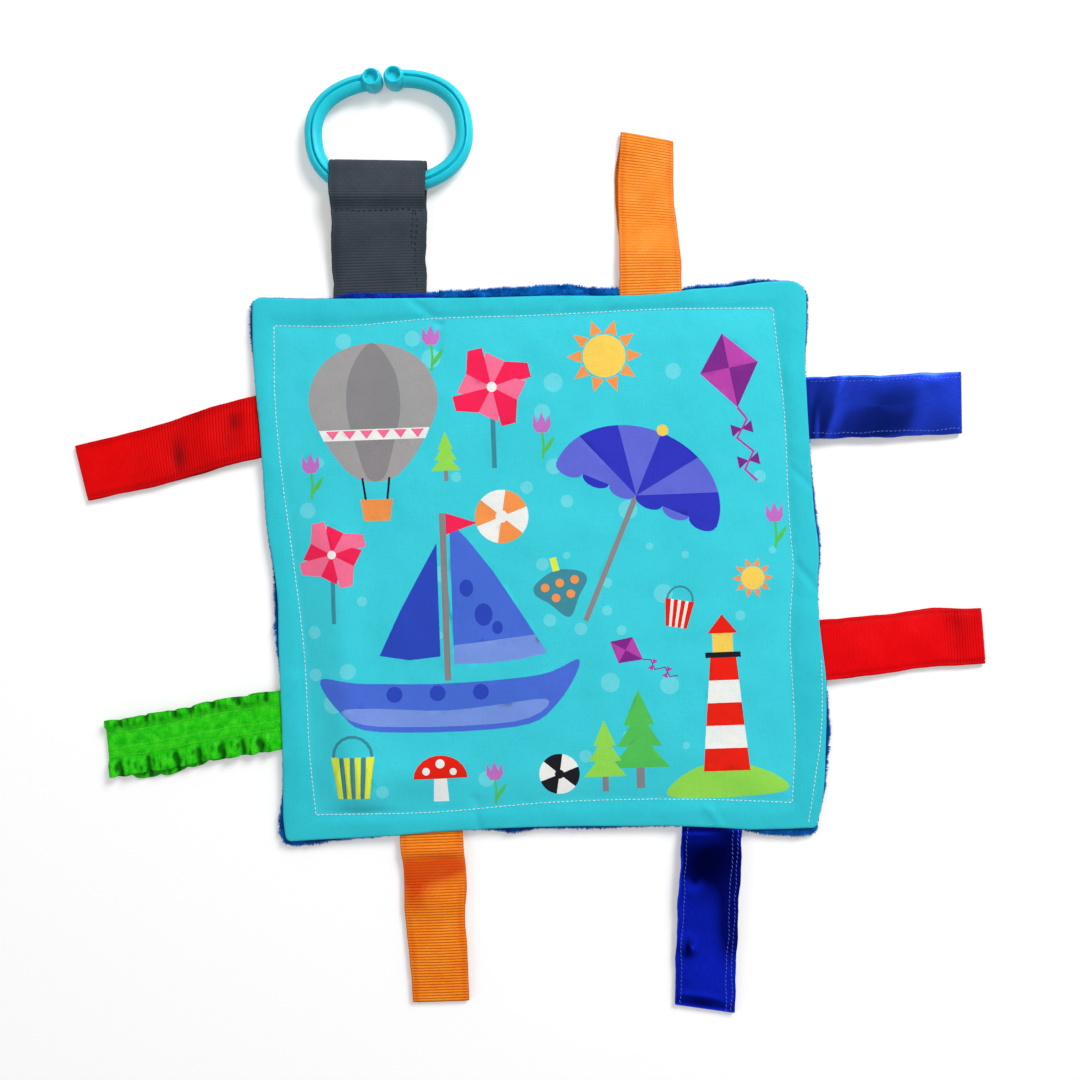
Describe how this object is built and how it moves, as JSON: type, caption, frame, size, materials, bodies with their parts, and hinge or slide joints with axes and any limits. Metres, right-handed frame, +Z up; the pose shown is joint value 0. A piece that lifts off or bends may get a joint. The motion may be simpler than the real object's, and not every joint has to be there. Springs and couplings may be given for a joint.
{
  "type": "crinkle square",
  "caption": "Flat sewn baby toy with a printed front, a plush back, a crackling film inside, folded ribbon tags round its edge and a split plastic link ring in one of them.",
  "frame": {"origin": "middle of the plush back panel's flat underside, where the square rests", "axes": "+Z up out of the printed front, +Y towards the edge that holds the link ring, +X to the right seen from above"},
  "size_m": [0.3364, 0.3551, 0.0098],
  "materials": {
    "printed_cotton": "plain woven cotton with a printed pattern",
    "blue_plush": "short deep-pile plush",
    "clear_film": "thin crumpled film",
    "grey_ribbon": "ribbed grosgrain",
    "light_orange_ribbon": "ribbed grosgrain",
    "deep_orange_ribbon": "ribbed grosgrain",
    "red_ribbon": "ribbed grosgrain",
    "blue_satin": "glossy satin",
    "green_ribbon": "gathered satin with ruffled edges",
    "aqua_plastic": "moulded, semi-gloss"
  },
  "bodies": {
    "square": {"front_panel": "printed_cotton", "back_panel": "blue_plush", "crinkle_film": "clear_film", "link_tag_sewn_end": "grey_ribbon", "orange_tag_top_sewn_end": "light_orange_ribbon", "blue_tag_right_sewn_end": "blue_satin", "red_tag_right_sewn_end": "red_ribbon", "blue_tag_bottom_sewn_end": "blue_satin", "orange_tag_bottom_sewn_end": "deep_orange_ribbon", "green_tag_left_sewn_end": "green_ribbon", "red_tag_left_sewn_end": "red_ribbon"},
    "link_tag": {"link_tag": "grey_ribbon"},
    "link_ring": {"link_ring": "aqua_plastic"},
    "orange_tag_top": {"orange_tag_top": "light_orange_ribbon"},
    "blue_tag_right": {"blue_tag_right": "blue_satin"},
    "red_tag_right": {"red_tag_right": "red_ribbon"},
    "blue_tag_bottom": {"blue_tag_bottom": "blue_satin"},
    "orange_tag_bottom": {"orange_tag_bottom": "deep_orange_ribbon"},
    "green_tag_left": {"green_tag_left": "green_ribbon"},
    "red_tag_left": {"red_tag_left": "red_ribbon"}
  },
  "joints": [
    {"name": "link_tag_fold", "type": "hinge", "parent": "square", "child": "link_tag", "pos_m": [-0.05629, 0.10279, 0.0031], "axis": [1, 0, 0], "range_deg": [-120, 120]},
    {"name": "link_ring_swing", "type": "hinge", "parent": "link_tag", "child": "link_ring", "pos_m": [-0.0507, 0.1414, 0.00495], "axis": [1, 0, 0], "range_deg": [-90, 90], "deforming": ["link_tag"]},
    {"name": "orange_tag_top_fold", "type": "hinge", "parent": "square", "child": "orange_tag_top", "pos_m": [0.04519, 0.10235, 0.0031], "axis": [1, 0, 0], "range_deg": [-120, 120]},
    {"name": "blue_tag_right_fold", "type": "hinge", "parent": "square", "child": "blue_tag_right", "pos_m": [0.10447, 0.05394, 0.0031], "axis": [0, -1, 0], "range_deg": [-120, 120]},
    {"name": "red_tag_right_fold", "type": "hinge", "parent": "square", "child": "red_tag_right", "pos_m": [0.10506, -0.03572, 0.0031], "axis": [0, -1, 0], "range_deg": [-120, 120]},
    {"name": "blue_tag_bottom_fold", "type": "hinge", "parent": "square", "child": "blue_tag_bottom", "pos_m": [0.0598, -0.10185, 0.0031], "axis": [-1, 0, 0], "range_deg": [-120, 120]},
    {"name": "orange_tag_bottom_fold", "type": "hinge", "parent": "square", "child": "orange_tag_bottom", "pos_m": [-0.04438, -0.10061, 0.0031], "axis": [-1, 0, 0], "range_deg": [-120, 120]},
    {"name": "green_tag_left_fold", "type": "hinge", "parent": "square", "child": "green_tag_left", "pos_m": [-0.10106, -0.05458, 0.0031], "axis": [0, 1, 0], "range_deg": [-120, 120]},
    {"name": "red_tag_left_fold", "type": "hinge", "parent": "square", "child": "red_tag_left", "pos_m": [-0.10377, 0.05446, 0.0031], "axis": [0, 1, 0], "range_deg": [-120, 120]}
  ]
}
